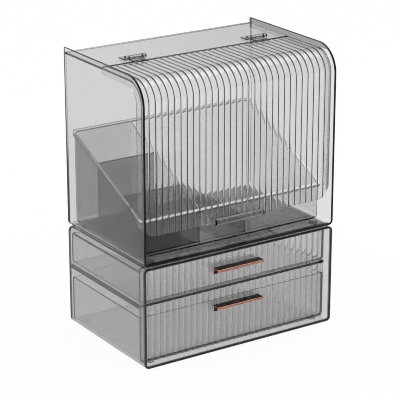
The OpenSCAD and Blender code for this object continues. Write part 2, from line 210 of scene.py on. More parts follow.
def clearPlastic(name, density, waveHeight, waveScale=30, haze=0.02, ior=1.5, tint=(0.0, 0.0, 0.0),
                 paintedShadeTone=0.002, coatIor=1.5, coat=0.0):
    # clear plastic that darkens with the depth of plastic that light crosses; density is per millimetre;
    # the tone given for the rim attribute is painted shade, put on its edges and the other faces the rim
    # marks to stand in for the dark that refraction gives; a coatIor above 1.5 adds a gloss coat, all over
    # where coat is given, and otherwise on the faces marked by shine
    material, nodes, links, skin, out = newMaterial(name)
    rim = nodes.new("ShaderNodeAttribute")
    rim.attribute_name = "rim"
    tone = nodes.new("ShaderNodeMix")
    tone.data_type = "RGBA"
    tone.inputs["A"].default_value = (1, 1, 1, 1)
    tone.inputs["B"].default_value = (paintedShadeTone, paintedShadeTone, paintedShadeTone, 1)
    links.new(rim.outputs["Fac"], tone.inputs["Factor"])
    links.new(tone.outputs["Result"], skin.inputs["Base Color"])
    skin.inputs["Coat IOR"].default_value = coatIor
    skin.inputs["Coat Weight"].default_value = coat
    if coatIor > 1.5 and not coat:
        shine = nodes.new("ShaderNodeAttribute")
        shine.attribute_name = "shine"
        links.new(shine.outputs["Fac"], skin.inputs["Coat Weight"])
    skin.inputs["Transmission Weight"].default_value = 1
    skin.inputs["IOR"].default_value = ior
    group = nodes.new("ShaderNodeGroup")
    group.node_tree = mouldWave
    group.inputs["Wave Scale"].default_value = waveScale
    group.inputs["Haze"].default_value = haze
    links.new(group.outputs["Roughness"], skin.inputs["Roughness"])
    if waveHeight:
        bump = nodes.new("ShaderNodeBump")
        bump.inputs["Strength"].default_value = 1
        bump.inputs["Distance"].default_value = waveHeight
        links.new(group.outputs["Height"], bump.inputs["Height"])
        links.new(bump.outputs["Normal"], skin.inputs["Normal"])
    depth = nodes.new("ShaderNodeVolumeAbsorption")
    depth.inputs["Color"].default_value = (*tint, 1)
    depth.inputs["Density"].default_value = density / mm
    links.new(depth.outputs["Volume"], out.inputs["Volume"])
    return material


warm, cool = (0.06, 0.03, 0), (0, 0, 0.02)  # the light that the two smokes let through
faint = 0.02 * mm  # height of the waviness of flat sheets
shellPlastic = clearPlastic("smokedShell", density=0.064, waveHeight=faint, ior=1.3, tint=warm)
panelPlastic = clearPlastic("smokedPanel", density=0.045, waveHeight=faint)
casePlastic = clearPlastic("smokedCase", density=0.12, waveHeight=faint, tint=cool)
tubPlastic = clearPlastic("smokedTub", density=0.04, waveHeight=faint, tint=cool)
frontLook = dict(waveHeight=0, tint=cool, coatIor=2, coat=0.4)
# the two drawer fronts are one plastic; their unlike densities are painted shade on the lower front and
# painted light on the upper
frontPlastic = {"lower": clearPlastic("smokedLowerFront", density=0.12, **frontLook),
                "upper": clearPlastic("smokedUpperFront", density=0.05, **frontLook)}
doorPlastic = clearPlastic("smokedDoor", density=0.062, waveHeight=0, tint=cool)
pullPlastic = clearPlastic("smokedPull", density=0.16, waveHeight=0)
hingePlastic = clearPlastic("smokedHinge", density=0.12, waveHeight=0)
insertPlastic = clearPlastic("smokedInsert", density=0.07, waveHeight=faint, ior=1.35, coatIor=4)
dividerPlastic = clearPlastic("smokedDivider", density=0.55, waveHeight=faint)
padPlastic = clearPlastic("padSilicone", density=0.02, waveHeight=0, haze=0.6, ior=1.42)


def brushedGrainGroup():
    # fine lines along X, for the roughness and the height of brushed metal
    group = bpy.data.node_groups.new("brushedGrain", "ShaderNodeTree")
    face = group.interface
    face.new_socket(name="Grain Scale", in_out="INPUT", socket_type="NodeSocketFloat").default_value = 900
    face.new_socket(name="Low", in_out="INPUT", socket_type="NodeSocketFloat").default_value = 0.2
    face.new_socket(name="High", in_out="INPUT", socket_type="NodeSocketFloat").default_value = 0.35
    face.new_socket(name="Roughness", in_out="OUTPUT", socket_type="NodeSocketFloat")
    face.new_socket(name="Height", in_out="OUTPUT", socket_type="NodeSocketFloat")
    nodes, links = group.nodes, group.links
    given = nodes.new("NodeGroupInput")
    out = nodes.new("NodeGroupOutput")
    place = nodes.new("ShaderNodeTexCoord")
    stretch = nodes.new("ShaderNodeMapping")
    stretch.inputs["Scale"].default_value = (0.02, 1, 1)
    links.new(place.outputs["Object"], stretch.inputs["Vector"])
    grain = nodes.new("ShaderNodeTexNoise")
    grain.inputs["Detail"].default_value = 3
    links.new(stretch.outputs["Vector"], grain.inputs["Vector"])
    links.new(given.outputs["Grain Scale"], grain.inputs["Scale"])
    spread = nodes.new("ShaderNodeMapRange")
    spread.inputs["From Min"].default_value = 0.3
    spread.inputs["From Max"].default_value = 0.7
    links.new(grain.outputs["Fac"], spread.inputs["Value"])
    links.new(given.outputs["Low"], spread.inputs["To Min"])
    links.new(given.outputs["High"], spread.inputs["To Max"])
    links.new(spread.outputs["Result"], out.inputs["Roughness"])
    links.new(grain.outputs["Fac"], out.inputs["Height"])
    return group


def wearAndPaintedHighlightGroup():
    # how far an edge is polished bare, broken up so that it isn't even; on the handle it also carries the
    # lip's painted highlight
    group = bpy.data.node_groups.new("wearAndPaintedHighlight", "ShaderNodeTree")
    face = group.interface
    face.new_socket(name="Rim", in_out="INPUT", socket_type="NodeSocketFloat")
    face.new_socket(name="Patch Scale", in_out="INPUT", socket_type="NodeSocketFloat").default_value = 300
    face.new_socket(name="WearAndHighlight", in_out="OUTPUT", socket_type="NodeSocketFloat")
    nodes, links = group.nodes, group.links
    given = nodes.new("NodeGroupInput")
    out = nodes.new("NodeGroupOutput")
    place = nodes.new("ShaderNodeTexCoord")
    patches = nodes.new("ShaderNodeTexNoise")
    patches.inputs["Detail"].default_value = 2
    links.new(place.outputs["Object"], patches.inputs["Vector"])
    links.new(given.outputs["Patch Scale"], patches.inputs["Scale"])
    broken = nodes.new("ShaderNodeMapRange")
    broken.inputs["From Min"].default_value = 0.35
    broken.inputs["From Max"].default_value = 0.55
    broken.inputs["To Min"].default_value = 0.7
    links.new(patches.outputs["Fac"], broken.inputs["Value"])
    wearAndHighlight = nodes.new("ShaderNodeMath")
    wearAndHighlight.operation = "MULTIPLY"
    links.new(given.outputs["Rim"], wearAndHighlight.inputs[0])
    links.new(broken.outputs["Result"], wearAndHighlight.inputs[1])
    links.new(wearAndHighlight.outputs[0], out.inputs["WearAndHighlight"])
    return group


brushedGrain = brushedGrainGroup()
wearAndPaintedHighlight = wearAndPaintedHighlightGroup()


def brushedMetal(name, flat, wornAndHighlightTone, low, high):
    # metal with a fine grain, lighter where its edges are polished bare and where a painted highlight is
    # marked
    material, nodes, links, skin, out = newMaterial(name)
    skin.inputs["Metallic"].default_value = 1
    rim = nodes.new("ShaderNodeAttribute")
    rim.attribute_name = "rim"
    wearAndHighlight = nodes.new("ShaderNodeGroup")
    wearAndHighlight.node_tree = wearAndPaintedHighlight
    links.new(rim.outputs["Fac"], wearAndHighlight.inputs["Rim"])
    tone = nodes.new("ShaderNodeMix")
    tone.data_type = "RGBA"
    tone.inputs["A"].default_value = (*flat, 1)
    tone.inputs["B"].default_value = (*wornAndHighlightTone, 1)
    links.new(wearAndHighlight.outputs["WearAndHighlight"], tone.inputs["Factor"])
    links.new(tone.outputs["Result"], skin.inputs["Base Color"])
    grain = nodes.new("ShaderNodeGroup")
    grain.node_tree = brushedGrain
    grain.inputs["Low"].default_value = low
    grain.inputs["High"].default_value = high
    links.new(grain.outputs["Roughness"], skin.inputs["Roughness"])
    bump = nodes.new("ShaderNodeBump")
    bump.inputs["Distance"].default_value = grainHeight
    links.new(grain.outputs["Height"], bump.inputs["Height"])
    links.new(bump.outputs["Normal"], skin.inputs["Normal"])
    return material


grainHeight = 0.004 * mm
# the rose gold's near-black flats are a painted dark reflection; its copper tone is both rubbing and painted
# highlight on the fine edges, and a painted highlight on the lip's front face
roseGold = brushedMetal("roseGold", flat=(0.04, 0.016, 0.012), wornAndHighlightTone=(0.86, 0.48, 0.37), low=0.05, high=0.13)
steel = brushedMetal("brightSteel", flat=(0.5, 0.5, 0.51), wornAndHighlightTone=(0.75, 0.75, 0.76), low=0.2, high=0.35)
print("materials made")


# reeded sheets

reeds = dict(count=31, height=1.2)
doorRidges = dict(crest=0.6, height=0.9, reach=1.5, steepness=3.0, flute=0.1, dark=0.25, topDark=0.02,
                  topShade=0.7, shade=1.0, sideMargin=2.5, outerDepth=1.6, lowShade=0.6,
                  sideSteps=(0, 0.04, 0.09, 0.15, 0.22, 0.31, 0.42, 0.56, 0.75, 1),
                  fluteAt=(0.3, 0.4, 0.5, 0.6, 0.7))
frontReeds = dict(depth=1.15, fullness=2.0, steps=12)


def ridgeProfile(x, width):
    # depth below the crests of narrow ridges, whose sides run out into shallow flutes
    s = doorRidges
    pitch = width / reeds["count"] / mm
    u = ((x + width / 2) / mm) % pitch
    u = min(u, pitch - u)
    half, foot = s["crest"] / 2, s["crest"] / 2 + s["reach"]
    if u <= half:
        return 0
    across = min(1, (u - half) / (pitch / 2 - half))
    side = max(0, (foot - u) / s["reach"]) ** s["steepness"]
    return s["height"] * (1 - side) + s["flute"] * (1 - (1 - across) ** 2)


def ridgeColumns(width):
    # places across the door where its section bends: down both sides of each ridge, and in each flute
    s = doorRidges
    pitch = width / reeds["count"]
    columns = [-width / 2, width / 2]
    for i in range(reeds["count"] + 1):
        x = -width / 2 + pitch * i
        for k in s["sideSteps"]:
            u = s["crest"] / 2 + s["reach"] * k
            columns += [x - u * mm, x + u * mm]
        if i < reeds["count"]:
            columns += [x + pitch * k for k in s["fluteAt"]]
    return [x for x in columns if abs(x) <= width / 2 + cutNear]


def crestProfile(x, width):
    # depth below the crest line of a soft rounded reed
    s = frontReeds
    pitch = width / reeds["count"]
    u = abs(((x + width / 2) / pitch) % 1 * 2 - 1)
    return s["depth"] * u ** s["fullness"]


def crestColumns(width):
    steps = frontReeds["steps"]
    total = reeds["count"] * steps
    return [-width / 2 + width * i / total for i in range(total + 1)]


def reededStrip(places):
    # flat strip of quads across X, one quad deep; gives the bmesh, its columns and its lower and upper rows
    columns = []
    for x in sorted(places):
        if not columns or x - columns[-1] > 2 * mergeNear:
            columns.append(x)
    bm = bmesh.new()
    made = bmesh.ops.create_grid(bm, x_segments=len(columns) - 1, y_segments=1, size=0.5)
    verts = made["verts"]
    lower = sorted((v for v in verts if v.co.y < 0), key=lambda v: v.co.x)
    upper = sorted((v for v in verts if v.co.y > 0), key=lambda v: v.co.x)
    for x, a, b in zip(columns, lower, upper):
        a.co = (x, 0, 0)
        b.co = (x, 0, 0)
    return bm, columns, lower, upper


# drawer case

caseShape = dict(wall=2.8, cornerRadius=6, cornerSteps=10, ribWidth=2.5, ribHeight=2, ribFront=16.5, edge=1.3,
                 frontStrip=7, mouthStrip=3.5, rearStrip=3, stripShade=0.9, lowEndShade=0.3)


def makeDrawerCase():
    s = caseShape
    lo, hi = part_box("drawer_case")
    wall = s["wall"] * mm
    bm = startBox(lo, hi)
    roundOff(bm, edgesAlong(bm, 1), s["cornerRadius"] * mm, s["cornerSteps"])
    front = facesAt(bm, 1, lo.y)
    bmesh.ops.inset_region(bm, faces=front, thickness=wall, use_even_offset=True)
    pushFaces(bm, front, (0, hi.y - lo.y - wall, 0))
    addRibs(bm, lo, hi, wall)
    for faces, y in ((bm.faces[:], lo.y + s["mouthStrip"] * mm),
                     (facesAt(bm, 2, hi.z), lo.y + s["frontStrip"] * mm),
                     (facesAt(bm, 0, lo.x) + facesAt(bm, 0, hi.x), hi.y - s["rearStrip"] * mm)):
        divideFaces(bm, faces, (0, y, 0), (0, 1, 0))
    return finishPiece("drawerCase", bm, "case", ["drawer_case"], casePlastic, edge=s["edge"],
                       shadeOf=lambda f: caseShade(f, lo, hi, wall))


def caseShade(face, lo, hi, wall):
    # painted shade: the front end of the top wall is painted as dark as a sheet seen end on, with a strip of
    # the top beside it, the other ends are paler, and narrow strips round the mouth and down the rear corners
    # are painted dark
    s = caseShape
    mid = face.calc_center_median()
    if mid.y < lo.y + tiny:
        return 1 if mid.z > hi.z - 1.5 * wall else s["lowEndShade"]
    if mid.y > hi.y - s["rearStrip"] * mm and abs(mid.x) > hi.x - tiny:
        return s["stripShade"]
    strip = s["frontStrip"] if mid.z > hi.z - tiny else s["mouthStrip"]
    return s["stripShade"] if mid.y < lo.y + strip * mm else 0


def addRibs(bm, lo, hi, wall):
    # the ledges inside the side walls that carry the shelf
    s = caseShape
    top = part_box("drawer_shelf")[0].z - airGap
    bottom, start = top - s["ribHeight"] * mm, lo.y + s["ribFront"] * mm
    for side in (-1, 1):
        inner = side * (hi.x - wall)
        for at, normal in (((0, 0, top), (0, 0, 1)), ((0, 0, bottom), (0, 0, 1)), ((0, start, 0), (0, 1, 0))):
            divideFaces(bm, facesAt(bm, 0, inner), at, normal)
        ledge = [f for f in facesAt(bm, 0, inner) if bottom < f.calc_center_median().z < top
                 and f.calc_center_median().y > start]
        pushFaces(bm, ledge, (-side * s["ribWidth"] * mm, 0, 0))


shelfShape = dict(edge=0.4, edgePaintedShadeAndWear=0.2)


def makeShelf():
    s = shelfShape
    lo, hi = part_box("drawer_shelf")
    bm = startBox(lo, hi)
    return finishPiece("drawerShelf", bm, "case", ["drawer_shelf"], panelPlastic,
                       edge=s["edge"], edgePaintedShadeAndWear=s["edgePaintedShadeAndWear"])


# drawers

tubShape = dict(wall=2.0, cornerRadius=5, outerSteps=10, innerSteps=8, edge=0.5, topShade=0.5, lowShade=0.12)
frontShape = dict(cornerRadius=2.5, cornerSteps=6, endShade=1.0, lowerTopShade=0.5, valleyShade=0.55)
drawerRows = {"lower": "lower_drawer", "upper": "upper_drawer"}


def makeTub(row):
    s = tubShape
    lo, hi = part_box(row + "_drawer_tub")
    wall = s["wall"] * mm
    bm = startBox(lo, hi)
    roundOff(bm, edgesAlong(bm, 1, lambda mid: mid.z < lo.z + close), s["cornerRadius"] * mm, s["outerSteps"])
    top = facesAt(bm, 2, hi.z)
    bmesh.ops.inset_region(bm, faces=top, thickness=wall, use_even_offset=True)
    pushFaces(bm, top, (0, 0, lo.z + wall - hi.z))
    floor = lo.z + wall
    inner = edgesAlong(bm, 1, lambda mid: abs(mid.z - floor) < tiny and abs(mid.x) > hi.x - 1.5 * wall)
    roundOff(bm, inner, (s["cornerRadius"] - s["wall"]) * mm, s["innerSteps"])
    return finishPiece(row + "DrawerTub", bm, drawerRows[row], [row + "_drawer_tub"],
                       tubPlastic, edge=s["edge"], edgePaintedShadeAndWear=lambda f: tubRim(f, lo, hi, wall))


def tubRim(face, lo, hi, wall):
    # painted shade: the top edges are painted darker than the low ones and those behind the front
    mid = face.calc_center_median()
    return tubShape["topShade" if mid.z > hi.z - wall and mid.y > lo.y + 2 * wall else "lowShade"]


def makeFront(row):
    # reeded plate with rounded corners, drawn upwards from its section
    s = frontShape
    lo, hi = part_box(row + "_drawer_front")
    width = hi.x - lo.x
    corner = s["cornerRadius"] * mm
    steps = s["cornerSteps"]
    rounding = [corner * (1 - math.cos(math.pi / 2 * k / steps)) for k in range(steps + 1)]
    ends = [side * (width / 2 - past) for side in (-1, 1) for past in rounding]
    bm, columns, back, face = reededStrip(crestColumns(width) + ends)
    for x, b, f in zip(columns, back, face):
        b.co = (x, hi.y - airGap, lo.z)
        f.co = (x, lo.y + crestProfile(x, width) * mm, lo.z)
    pushFaces(bm, bm.faces[:], (0, 0, hi.z - lo.z), keepStart=True)
    for v in bm.verts:
        past = max(0, abs(v.co.x) - (width / 2 - corner))
        rise = corner - math.sqrt(max(0, corner * corner - past * past))
        v.co.z += math.copysign(rise, (lo.z + hi.z) / 2 - v.co.z)
    # how much painted shade the front's top end takes
    top = 1 if row == "upper" else s["lowerTopShade"]
    return finishPiece(row + "DrawerFront", bm, drawerRows[row], [row + "_drawer_front"],
                       frontPlastic[row], shadeOf=lambda f: frontShade(f, lo, hi, width, top))


def frontShade(face, lo, hi, width, top):
    # painted shade: the valleys between the reeds and the front's own ends are painted darker
    s = frontShape
    mid = face.calc_center_median()
    if abs(mid.x) > width / 2 - tiny or abs(face.normal.z) > 0.5:
        return s["endShade"] * top if face.normal.z > 0.5 else s["endShade"]
    if mid.y > hi.y - broad:
        return 0
    return s["valleyShade"] * (crestProfile(mid.x, width) / frontReeds["depth"]) ** 2


handleShape = dict(metal=1.6, lip=3.5, edge=0.5, lipPaintedHighlight=0.35)


def makeHandle(row):
    # bent bar: flange on the front, plate and lip, swept along X
    s = handleShape
    lo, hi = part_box(row + "_handle")
    hi.y -= airGap / 2
    t, lip = s["metal"] * mm, s["lip"] * mm
    outline = [(hi.y, hi.z), (lo.y, hi.z), (lo.y, hi.z - lip), (lo.y + t, hi.z - lip), (lo.y + t, hi.z - t),
               (hi.y - t, hi.z - t), (hi.y - t, lo.z), (hi.y, lo.z)]
    bm = bmesh.new()
    end = bm.faces.new([bm.verts.new((lo.x, y, z)) for y, z in outline])
    pushFaces(bm, [end], (hi.x - lo.x, 0, 0), keepStart=True)
    # the lip's front face gets a painted highlight through the mask for polished edges
    return finishPiece(row + "Handle", bm, drawerRows[row], [row + "_handle"], roseGold,
                       edge=s["edge"],
                       shadeOf=lambda f: s["lipPaintedHighlight"] if f.calc_center_median().y < lo.y + 0.5 * t else 0)


screwShape = dict(headThickness=1.6, shankRadius=1.25, steps=32, edge=0.3)


def makeScrews(row):
    # round heads inside the tub, with the shanks through the front
    s = screwShape
    lo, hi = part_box(row + "_handle_screws")
    headR = (hi.z - lo.z) / 2
    bm = bmesh.new()
    for side in (-1, 1):
        x = side * (hi.x - headR)
        z = (lo.z + hi.z) / 2
        headStart = hi.y - s["headThickness"] * mm
        for radius, y0, y1 in ((headR, headStart, hi.y), (s["shankRadius"] * mm, lo.y, headStart)):
            turn = Matrix.Translation((x, (y0 + y1) / 2, z)) @ Matrix.Rotation(math.radians(90), 4, "X")
            bmesh.ops.create_cone(bm, cap_ends=True, segments=s["steps"], radius1=radius, radius2=radius,
                                  depth=y1 - y0, matrix=turn)
    return finishPiece(row + "HandleScrews", bm, drawerRows[row], [row + "_handle_screws"],
                       steel, edge=s["edge"])


# cabinet

cabinetShape = dict(wall=3.0, cornerRadius=6, cornerSteps=10, frontCurve=35, curveSteps=24, edge=1.3,
                    frontStrip=7, rearStrip=3, sillStrip=3, stripShade=0.9, floorShade=0.15, lipShade=0.8,
                    rightTopShade=0.95, leftTopShade=0.2)


def makeCabinet():
    # an open-fronted box whose side walls rise past the top panel and bend down at the front
    s = cabinetShape
    lo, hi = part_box("cabinet_shell")
    panelLo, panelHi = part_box("rear_top_panel")
    wall = s["wall"] * mm
    bm = startBox(lo, hi)
    low = edgesAlong(bm, 1, lambda mid: mid.z < lo.z + close)
    roundOff(bm, low, s["cornerRadius"] * mm, s["cornerSteps"])
    front = facesAt(bm, 1, lo.y)
    bmesh.ops.inset_region(bm, faces=front, thickness=wall, use_even_offset=True)
    pushFaces(bm, front, (0, hi.y - lo.y - wall, 0))
    sliceOff(bm, (0, 0, panelLo.z), (0, 0, 1))
    for x in (lo.x + wall, hi.x - wall):
        bmesh.ops.bisect_plane(bm, geom=bm.verts[:] + bm.edges[:] + bm.faces[:], dist=mergeNear,
                               plane_co=(x, 0, 0), plane_no=(1, 0, 0))
    sides = [f for f in facesAt(bm, 2, panelLo.z) if abs(f.calc_center_median().x) > hi.x - wall]
    pushFaces(bm, sides, (0, 0, hi.z - panelLo.z))
    bmesh.ops.dissolve_limit(bm, angle_limit=0.01, verts=bm.verts[:], edges=bm.edges[:], delimit={"NORMAL"})
    corners = edgesAlong(bm, 0, lambda mid: mid.y < lo.y + close and mid.z > hi.z - close)
    roundOff(bm, corners, s["frontCurve"] * mm, s["curveSteps"])
    divideFaces(bm, facesAt(bm, 2, lo.z), (0, lo.y + s["frontStrip"] * mm, 0), (0, 1, 0))
    outsides = facesAt(bm, 0, lo.x) + facesAt(bm, 0, hi.x)
    divideFaces(bm, outsides, (0, hi.y - s["rearStrip"] * mm, 0), (0, 1, 0))
    divideFaces(bm, facesAt(bm, 0, hi.x - wall), (0, 0, panelHi.z), (0, 0, 1))
    divideFaces(bm, facesAt(bm, 2, lo.z + wall), (0, lo.y + s["sillStrip"] * mm, 0), (0, 1, 0))
    return finishPiece("cabinetShell", bm, "case", ["cabinet_shell"], shellPlastic,
                       edge=s["edge"], shadeOf=lambda f: cabinetShade(f, lo, hi, wall, panelHi.z))


def cabinetShade(face, lo, hi, wall, panelTop):
    # painted shade: dark front ends all round, also on the bends, dark strips along the floor's front and
    # the rear corners, and greyer top ends of the side walls, most on the right one, whose lip is also
    # painted grey inside
    mid = face.calc_center_median()
    s = cabinetShape
    curve = s["frontCurve"] * mm
    if mid.y < lo.y + tiny:
        return 1
    if mid.y < lo.y + curve and mid.z > hi.z - curve and abs(face.normal.x) < 0.1:
        return s["stripShade"]
    if mid.z > hi.z - tiny:
        return s["rightTopShade"] if mid.x > 0 else s["leftTopShade"]
    if mid.z < lo.z + tiny:
        return s["stripShade"] if mid.y < lo.y + s["frontStrip"] * mm else s["floorShade"]
    if abs(mid.z - lo.z - wall) < tiny and mid.y < lo.y + s["sillStrip"] * mm:
        return s["stripShade"]
    if mid.y > hi.y - s["rearStrip"] * mm and abs(mid.x) > hi.x - tiny:
        return s["stripShade"]
    if mid.z > panelTop and abs(mid.x - hi.x + wall) < tiny:
        return s["lipShade"]
    return 0


topPanelShape = dict(edge=0.7, edgeSteps=2, frontStrip=2.5)


def makeTopPanel():
    s = topPanelShape
    lo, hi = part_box("rear_top_panel")
    bm = startBox(lo + Vector((airGap, 0, airGap)), hi - Vector((airGap, 0, 0)))
    ends = [e for e in bm.edges if min(v.co.y for v in e.verts) < hi.y - broad]
    roundOff(bm, ends, s["edge"] * mm, s["edgeSteps"])
    # the panel's top face is painted dark from its front up to this line, as shade in the gap at the door
    gapShadeLine = lo.y + s["frontStrip"] * mm
    divideFaces(bm, [f for f in bm.faces if f.normal.z > 0.999], (0, gapShadeLine, 0), (0, 1, 0))
    return finishPiece("rearTopPanel", bm, "case", ["rear_top_panel"], panelPlastic,
                       shadeOf=lambda f: panelShade(f, gapShadeLine))


def panelShade(face, gapShadeLine):
    # painted shade: dark edges, and a dark strip along the door where the gap between them lies in shade
    if face.normal.z > 0.999:
        return 1 if face.calc_center_median().y < gapShadeLine else 0
    return 0 if face.normal.z < -0.999 or face.normal.y > 0.9 else 1


# door

doorShape = dict(thickness=2.0, bendRadius=29, bendSteps=28, flange=2.2, flangeTop=9, flangeFront=12.5,
                 innerCurve=20, cornerRadius=18)


def makeDoor():
    # one strip across the width, drawn forward over the top, spun round the bend and drawn down the front
    s = doorShape
    lo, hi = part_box("dust_door")
    width = hi.x - lo.x
    skin = (s["thickness"] + reeds["height"]) * mm
    bend = s["bendRadius"] * mm
    flangeX = width / 2 - s["flange"] * mm
    legX = flangeX + 2 * tiny
    centre = Vector((0, lo.y + bend, hi.z - bend))
    bm, columns, inner, outer = reededStrip(ridgeColumns(width) + [-legX, -flangeX, flangeX, legX])
    for x, a, b in zip(columns, inner, outer):
        deep = s["flangeTop"] * mm if abs(x) > flangeX + tiny else skin
        a.co = (x, hi.y, hi.z - deep)
        b.co = (x, hi.y, hi.z - ridgeProfile(x, width) * mm)
    strip = bm.faces[:]
    made = bmesh.ops.extrude_face_region(bm, geom=strip)
    ends = [g for g in made["geom"] if isinstance(g, bmesh.types.BMFace)]
    bmesh.ops.translate(bm, vec=(0, centre.y - hi.y, 0), verts=vertsOf(made))
    bent = bmesh.ops.spin(bm, geom=ends, cent=centre, axis=(1, 0, 0), angle=math.radians(90),
                          steps=s["bendSteps"], use_merge=False, use_duplicate=False)
    last = [g for g in bent["geom_last"] if isinstance(g, bmesh.types.BMFace)]
    bmesh.ops.delete(bm, geom=[f for f in ends if f.is_valid], context="FACES_ONLY")
    made = bmesh.ops.extrude_face_region(bm, geom=last)
    bmesh.ops.translate(bm, vec=(0, 0, lo.z - centre.z), verts=vertsOf(made))
    bmesh.ops.delete(bm, geom=[f for f in last if f.is_valid], context="FACES_ONLY")
    shapeFlanges(bm, lo, hi, centre, flangeX, skin)
    return finishPiece("dustDoor", bm, "door", ["dust_door"], doorPlastic,
                       shadeOf=lambda f: doorShade(f, lo, hi, width))


def doorShade(face, lo, hi, width):
    # painted shade: the ridges, the rear and lower ends and the flanges' inner ends are painted dark, in
    # place of the dark lines that refraction gives
    s = doorRidges
    mid = face.calc_center_median()
    pitch = width / reeds["count"]
    u = (mid.x + width / 2) % pitch
    u = min(u, pitch - u) / mm
    if mid.y > hi.y - tiny:
        return 1
    outer = faceIsOuter(mid, lo, hi)
    dark = s["topDark"] if mid.y > lo.y + doorShape["bendRadius"] * mm else s["dark"]
    if outer and u < s["crest"] / 2 + dark * s["reach"] and abs(mid.x) < width / 2 - s["sideMargin"] * mm:
        return s["shade"] if dark > s["topDark"] else s["topShade"]
    if abs(face.normal.z) > 0.5 and mid.z < lo.z + doorShape["cornerRadius"] * mm and not outer:
        return s["lowShade"]
    return 0


def faceIsOuter(mid, lo, hi):
    # true on the ridged face of the top, the bend and the front
    deep = doorRidges["outerDepth"] * mm
    bend = doorShape["bendRadius"] * mm
    if mid.y > lo.y + bend:
        return mid.z > hi.z - deep
    if mid.z < hi.z - bend:
        return mid.y < lo.y + deep
    return (Vector((0, mid.y - lo.y - bend, mid.z - hi.z + bend))).length > bend - deep


def shapeFlanges(bm, lo, hi, centre, flangeX, skin):
    # sets the flanges' inner edge to its own curve and rounds the door's bottom corners
    s = doorShape
    half = (hi.x - lo.x) / 2
    corner = s["cornerRadius"] * mm
    shift = (s["flangeFront"] + s["innerCurve"] - s["bendRadius"]) * mm
    inCurve = s["innerCurve"] * mm
    for v in bm.verts:
        x, y, z = v.co
        if abs(x) > flangeX + tiny:
            away = Vector((0, y - centre.y, z - centre.z))
            if z < centre.z + tiny and y > lo.y + skin + broad and y < centre.y:
                v.co.y = lo.y + s["flangeFront"] * mm
            elif y < centre.y + tiny and away.length < s["bendRadius"] * mm - skin - broad:
                u = away.normalized()
                along = u.y * shift
                v.co = centre + u * (along + math.sqrt(along * along - shift * shift + inCurve * inCurve))
                v.co.x = x
        past = abs(x) - (half - corner)
        if abs(z - lo.z) < tiny and past > 0:
            v.co.z = lo.z + corner - math.sqrt(max(0.0, corner * corner - past * past))


pullShape = dict(steps=48, edge=0.6)


def makePull():
    # half-round bar: a cylinder cut along its length
    s = pullShape
    lo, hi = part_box("door_pull")
    hi.y -= airGap
    radius = (hi.z - lo.z) / 2
    bm = bmesh.new()
    middle = ((lo.x + hi.x) / 2, hi.y, (lo.z + hi.z) / 2)
    turn = Matrix.Translation(middle) @ Matrix.Rotation(math.radians(90), 4, "Y")
    bmesh.ops.create_cone(bm, cap_ends=True, segments=s["steps"], radius1=radius, radius2=radius,
                          depth=hi.x - lo.x, matrix=turn)
    sliceOff(bm, (0, hi.y, 0), (0, 1, 0))
    return finishPiece("doorPull", bm, "door", ["door_pull"], pullPlastic, edge=s["edge"])


# hinges

hingeShape = dict(leafThickness=1.5, endKnuckle=5.2, gap=0.3, boreRadius=1.32, steps=32, boreSteps=24,
                  edge=0.4, pinEdge=0.2, leafShade=0.1)


def hingeSection(bm, x, axisY, axisZ, radius, side, leafStart, leafEnd):
    # end face of a knuckle with its bore, and of the leaf that leaves it level with its foot
    s = hingeShape
    leaf = s["leafThickness"] * mm
    cut = math.asin(1 - leaf / radius)
    turns = [cut - (cut + math.pi * 1.5) * k / s["steps"] for k in range(s["steps"] + 1)]
    outline = [(leafStart, -radius), (leafStart, leaf - radius)]
    outline += [(radius * math.cos(math.pi + t), radius * math.sin(math.pi + t)) for t in turns]
    bore = s["boreRadius"] * mm
    turned = [2 * math.pi * k / s["boreSteps"] for k in range(s["boreSteps"])]
    loops = []
    for points in (outline, [(bore * math.cos(t), bore * math.sin(t)) for t in turned]):
        verts = [bm.verts.new((x, axisY + side * y, axisZ + z)) for y, z in points]
        loops += [bm.edges.new((verts[k - 1], verts[k])) for k in range(len(verts))]
        if points is outline:
            foot = verts[:2]
    knuckle = [g for g in bmesh.ops.triangle_fill(bm, use_beauty=True, edges=loops)["geom"]
               if isinstance(g, bmesh.types.BMFace)]
    if leafEnd is None:
        return knuckle, None
    far = [bm.verts.new((x, axisY + side * leafEnd, axisZ + z)) for z in (-radius, leaf - radius)]
    return knuckle, bm.faces.new([foot[0], foot[1], far[1], far[0]])


